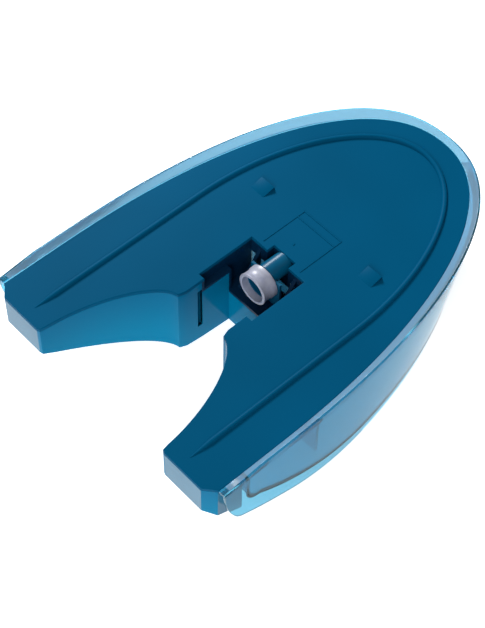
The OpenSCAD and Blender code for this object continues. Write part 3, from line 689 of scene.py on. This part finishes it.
# the pocket well's deep blue is darkened towards black: painted shade of the deep recess
wellLookPaintedShade = {"colour": "#012440", "roughness": 0.4, "grainMm": 0.4, "bumpMm": 0.02}
valveLook = {"low": "#004A6C", "high": "#005678", "roughness": 0.3, "cloudMm": 16.7, "bumpMm": 0.05}
acetalLook = {"low": "#C9CCCF", "high": "#D6D8DA", "roughness": 0.35, "cloudMm": 5.0}
rubberLook = {"colour": "#17181A", "roughness": 0.6, "grainMm": 0.33, "bumpMm": 0.03}
steelLook = {"colour": "#B9BBBD", "roughness": 0.25, "lineMm": 1.43, "bumpMm": 0.02}
gauzeLook = {"low": "#4A4C4E", "high": "#C4C6C8", "roughness": 0.35, "pitchMm": 0.9, "bumpMm": 0.1}


def wellPlasticPaintedShade():
    # SAN from a satin tool: a deep blue, darkened to nearly black as painted shade of the deep recess, with a
    # fine even grain
    look = wellLookPaintedShade
    material, tree, place = newMaterial("deepBlueSanSatinPaintedShade")
    grain = addNode(tree, "ShaderNodeTexNoise", {"Scale": patternScale(look["grainMm"])}, {"Vector": place})
    bump = addNode(tree, "ShaderNodeBump", {"Strength": 0.3, "Distance": look["bumpMm"] * mm},
                   {"Height": grain.outputs[0]})
    body = addNode(tree, "ShaderNodeBsdfPrincipled",
                   {"Base Color": linearColour(look["colour"]), "Roughness": look["roughness"], "IOR": 1.57,
                    "Specular IOR Level": 0.12}, {"Normal": bump.outputs[0]})
    addNode(tree, "ShaderNodeOutputMaterial", links={"Surface": body.outputs[0]})
    return material


def valvePlastic():
    # moulded blue acetal: opaque and slick, with a soft highlight along the tube
    look = valveLook
    material, tree, place = newMaterial("blueAcetalMoulded")
    cloud = addNode(tree, "ShaderNodeTexNoise", {"Scale": patternScale(look["cloudMm"])}, {"Vector": place})
    tint = addNode(tree, "ShaderNodeValToRGB", links={"Fac": cloud.outputs[0]},
                   stops=((0.3, look["low"]), (0.7, look["high"])))
    bump = addNode(tree, "ShaderNodeBump", {"Strength": 0.1, "Distance": look["bumpMm"] * mm},
                   {"Height": cloud.outputs[0]})
    body = addNode(tree, "ShaderNodeBsdfPrincipled",
                   {"Roughness": look["roughness"], "IOR": 1.48, "Specular IOR Level": 0.2},
                   {"Base Color": tint.outputs[0], "Normal": bump.outputs[0]})
    addNode(tree, "ShaderNodeOutputMaterial", links={"Surface": body.outputs[0]})
    return material


def whiteAcetal():
    # moulded white acetal: a cool, slightly uneven white with a waxy sheen
    look = acetalLook
    material, tree, place = newMaterial("whiteAcetalMoulded")
    cloud = addNode(tree, "ShaderNodeTexNoise", {"Scale": patternScale(look["cloudMm"])}, {"Vector": place})
    tint = addNode(tree, "ShaderNodeValToRGB", links={"Fac": cloud.outputs[0]},
                   stops=((0.3, look["low"]), (0.7, look["high"])))
    body = addNode(tree, "ShaderNodeBsdfPrincipled", {"Roughness": look["roughness"], "IOR": 1.48},
                   {"Base Color": tint.outputs[0]})
    addNode(tree, "ShaderNodeOutputMaterial", links={"Surface": body.outputs[0]})
    return material


def blackRubber():
    # moulded EPDM: a dull charcoal with a fine grain
    look = rubberLook
    material, tree, place = newMaterial("blackEpdmMoulded")
    grain = addNode(tree, "ShaderNodeTexNoise", {"Scale": patternScale(look["grainMm"])}, {"Vector": place})
    bump = addNode(tree, "ShaderNodeBump", {"Strength": 0.4, "Distance": look["bumpMm"] * mm},
                   {"Height": grain.outputs[0]})
    body = addNode(tree, "ShaderNodeBsdfPrincipled",
                   {"Base Color": linearColour(look["colour"]), "Roughness": look["roughness"]},
                   {"Normal": bump.outputs[0]})
    addNode(tree, "ShaderNodeOutputMaterial", links={"Surface": body.outputs[0]})
    return material


def drawnSteel():
    # drawn stainless steel: bright, with faint marks left by the die
    look = steelLook
    material, tree, place = newMaterial("stainlessSteelDrawn")
    lines = addNode(tree, "ShaderNodeTexNoise", {"Scale": patternScale(look["lineMm"]), "Detail": 2.0},
                    {"Vector": place})
    bump = addNode(tree, "ShaderNodeBump", {"Strength": 0.15, "Distance": look["bumpMm"] * mm},
                   {"Height": lines.outputs[0]})
    body = addNode(tree, "ShaderNodeBsdfPrincipled",
                   {"Base Color": linearColour(look["colour"]), "Metallic": 1.0,
                    "Roughness": look["roughness"]},
                   {"Normal": bump.outputs[0]})
    addNode(tree, "ShaderNodeOutputMaterial", links={"Surface": body.outputs[0]})
    return material


def wovenGauze():
    # woven stainless wire: light wires over openings painted dark, as painted shade seen through them. The 0.5
    # mm weave is drawn coarser, to show
    look = gauzeLook
    material, tree, place = newMaterial("stainlessSteelWovenGauze")
    waveScale = 2 * pi / 20 * patternScale(look["pitchMm"])      # a wave of scale 1 repeats every 2 pi / 20
    waves = [addNode(tree, "ShaderNodeTexWave", {"Scale": waveScale, "bands_direction": direction},
                     {"Vector": place}).outputs[1] for direction in ("X", "Z")]
    weave = addNode(tree, "ShaderNodeMath", {"operation": "MAXIMUM"}, dict(enumerate(waves)))
    # painted shade: the openings between the wires take the dark stop
    tint = addNode(tree, "ShaderNodeValToRGB", links={"Fac": weave.outputs[0]},
                   stops=((0.3, look["low"]), (0.7, look["high"])))
    bump = addNode(tree, "ShaderNodeBump", {"Strength": 0.6, "Distance": look["bumpMm"] * mm},
                   {"Height": weave.outputs[0]})
    body = addNode(tree, "ShaderNodeBsdfPrincipled", {"Metallic": 1.0, "Roughness": look["roughness"]},
                   {"Base Color": tint.outputs[0], "Normal": bump.outputs[0]})
    addNode(tree, "ShaderNodeOutputMaterial", links={"Surface": body.outputs[0]})
    return material


flapLook = {"colour": "#7FB3CB", "roughness": 0.07}
springShape = {"radius": 3.2, "wire": 0.35, "coils": 5, "z": 52.5}


def valveSpring(material):
    s, turn = springShape, 2 * pi / 24
    steps = s["coils"] * 24
    low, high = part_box("valve_spring")
    x0, x1 = low.x / mm + s["wire"], high.x / mm - s["wire"]
    points = [(x0 + (x1 - x0) * k / steps, s["radius"] * cos(turn * k), s["z"] + s["radius"] * sin(turn * k))
              for k in range(steps + 1)]
    radii = [s["wire"]] * len(points)
    tubeAlong(points, radii, "valveSpring", material, 10, ("valve_spring",))


studio = {"floor": "#FFFFFF", "floorShade": "#FAFAFA", "floorGlow": 0.7, "floorSize": 3000, "fibreMm": 3.3,
          "world": "#FFFFFF", "worldStrength": 0.28}
softboxes = {"keySoftbox": {"place": (0.45, 1.1, 0.85), "aim": (0, 0, 0.05), "size": 0.5, "power": 25.0},
             "fillSoftbox": {"place": (-1.1, -0.6, 0.8), "aim": (0, 0, 0.03), "size": 0.9, "power": 12.0}}
cameraSet = {"place": (-0.4423, -0.4347, 0.8535), "aim": (-0.0467, -0.0159, 0.060), "lens": 96.15,
             "roll": 1.12}


def addCamera():
    data = bpy.data.cameras.new("studioCamera")
    data.lens = cameraSet["lens"]
    camera = bpy.data.objects.new("studioCamera", data)
    bpy.context.collection.objects.link(camera)
    place, aim = Vector(cameraSet["place"]), Vector(cameraSet["aim"])
    turn = (aim - place).to_track_quat("-Z", "Y").to_matrix().to_4x4()
    roll = Matrix.Rotation(radians(cameraSet["roll"]), 4, "Z")
    camera.matrix_world = Matrix.Translation(place) @ turn @ roll
    data.clip_end = 20
    bpy.context.scene.camera = camera


def addFloor():
    # matt white paper, evenly lit, so that it stays white right up to the tank
    material, tree, place = newMaterial("studioPaperMatt")
    fibre = addNode(tree, "ShaderNodeTexNoise", {"Scale": patternScale(studio["fibreMm"])}, {"Vector": place})
    tint = addNode(tree, "ShaderNodeValToRGB", links={"Fac": fibre.outputs[0]},
                   stops=((0.3, studio["floorShade"]), (0.7, studio["floor"])))
    body = addNode(tree, "ShaderNodeBsdfPrincipled",
                   {"Roughness": 0.9, "Specular IOR Level": 0.1, "Emission Strength": studio["floorGlow"],
                    "Emission Color": linearColour(studio["floor"])}, {"Base Color": tint.outputs[0]})
    addNode(tree, "ShaderNodeOutputMaterial", links={"Surface": body.outputs[0]})
    bm = bmesh.new()
    bmesh.ops.create_grid(bm, x_segments=1, y_segments=1, size=studio["floorSize"])
    bmesh.ops.scale(bm, vec=(mm, mm, mm), verts=bm.verts)
    mesh = bpy.data.meshes.new("studioFloor")
    bm.to_mesh(mesh)
    bm.free()
    mesh.materials.append(material)
    floor = bpy.data.objects.new("studioFloor", mesh)
    bpy.context.collection.objects.link(floor)


def addLight(name, box):
    data = bpy.data.lights.new(name, "AREA")
    data.shape = "DISK"
    data.size = box["size"]
    data.energy = box["power"]
    light = bpy.data.objects.new(name, data)
    bpy.context.collection.objects.link(light)
    place, aim = Vector(box["place"]), Vector(box["aim"])
    turn = (aim - place).to_track_quat("-Z", "Y").to_matrix().to_4x4()
    light.matrix_world = Matrix.Translation(place) @ turn


def addStudio():
    world = bpy.data.worlds.new("studioWorld")
    world.use_nodes = True
    background = world.node_tree.nodes["Background"]
    background.inputs["Color"].default_value = linearColour(studio["world"])
    background.inputs["Strength"].default_value = studio["worldStrength"]
    bpy.context.scene.world = world
    for name, box in softboxes.items():
        addLight(name, box)
    addFloor()
    bpy.context.scene.view_settings.view_transform = "Standard"


addCamera()
addStudio()
print("studio made")

blue = mouldedBluePlate()
basePlate(blue)
guideRidge(blue)
snapRamps(blue)
mouldedOutline(blue)
print("base plate made")

# the teal wall material carries a painted glow, lighter low down, onto the notch wall and the key housings
tealWall = tealWallPaintedGlow()
notchWall(tealWall, legFrontPaintedPale())
clearShell = clearMoulding("clearSanPolishedMould", shellLook["colour"], shellLook["roughness"], 0.88, 0.05)
clearPanel = clearMoulding("clearSanPanelPolishedMould", shellLook["panel"], 0.08, 0.8, 0.05)
outerShell(clearShell, clearMoulding("clearSanLipPaintedLight", shellLook["lip"], 0.15, 0.55, 0.1))
ceilingShadeLine()
refinedCopy("ceiling_panel", "ceilingPanel", clearPanel, bevel=0.0)
print("shell and walls made")

well = wellPlasticPaintedShade()
keyHousings(tealWall)
innerClear = clearMoulding("clearSanInnerWallMould", shellLook["inner"], 0.2, 0.6, 0.1)
# the pocket well takes the deep blue darkened as painted shade
refinedCopy("pocket_well", "pocketWell", well)
refinedCopy("well_end_wall", "wellEndWall", innerClear)
for place in ("left", "right", "front"):
    refinedCopy(place + "_baffle", place + "Baffle", clearPanel)

valveBlue, acetal, rubber, steel = valvePlastic(), whiteAcetal(), blackRubber(), drawnSteel()
silicone = milkySilicone()
outletSeal(silicone)
refinedCopy("valve_body", "valveBody", valveBlue, bevel=0.25)
refinedCopy("valve_seat", "valveSeat", rubber, bevel=0.1)
refinedCopy("valve_plunger", "valvePlunger", acetal, "plunger", 0.2)
refinedCopy("plunger_o_ring", "plungerFaceSeal", rubber, "plunger", 0.0)
valveSpring(steel)
refinedCopy("spring_retainer", "springRetainer", acetal, bevel=0.12)
refinedCopy("strainer_frame", "strainerFrame", valveBlue, bevel=0.12)
refinedCopy("strainer_mesh", "strainerGauze", wovenGauze(), bevel=0.0)
print("outlet valve made")

flapClear = clearMoulding("lightBlueSanPolishedMould", flapLook["colour"], flapLook["roughness"], 0.75, 0.5)
refinedCopy("fill_frame", "fillFrame", innerClear, bevel=0.15)
refinedCopy("fill_flap", "fillFlap", flapClear, "flap", 0.25)
refinedCopy("flap_gasket", "flapGasket", silicone, "flap", 0.0)
refinedCopy("flap_hinge_pin", "flapHingePin", steel, bevel=0.25)
refinedCopy("vent_valve", "ventValve", silicone, bevel=0.4)
print("fill flap and vent made")
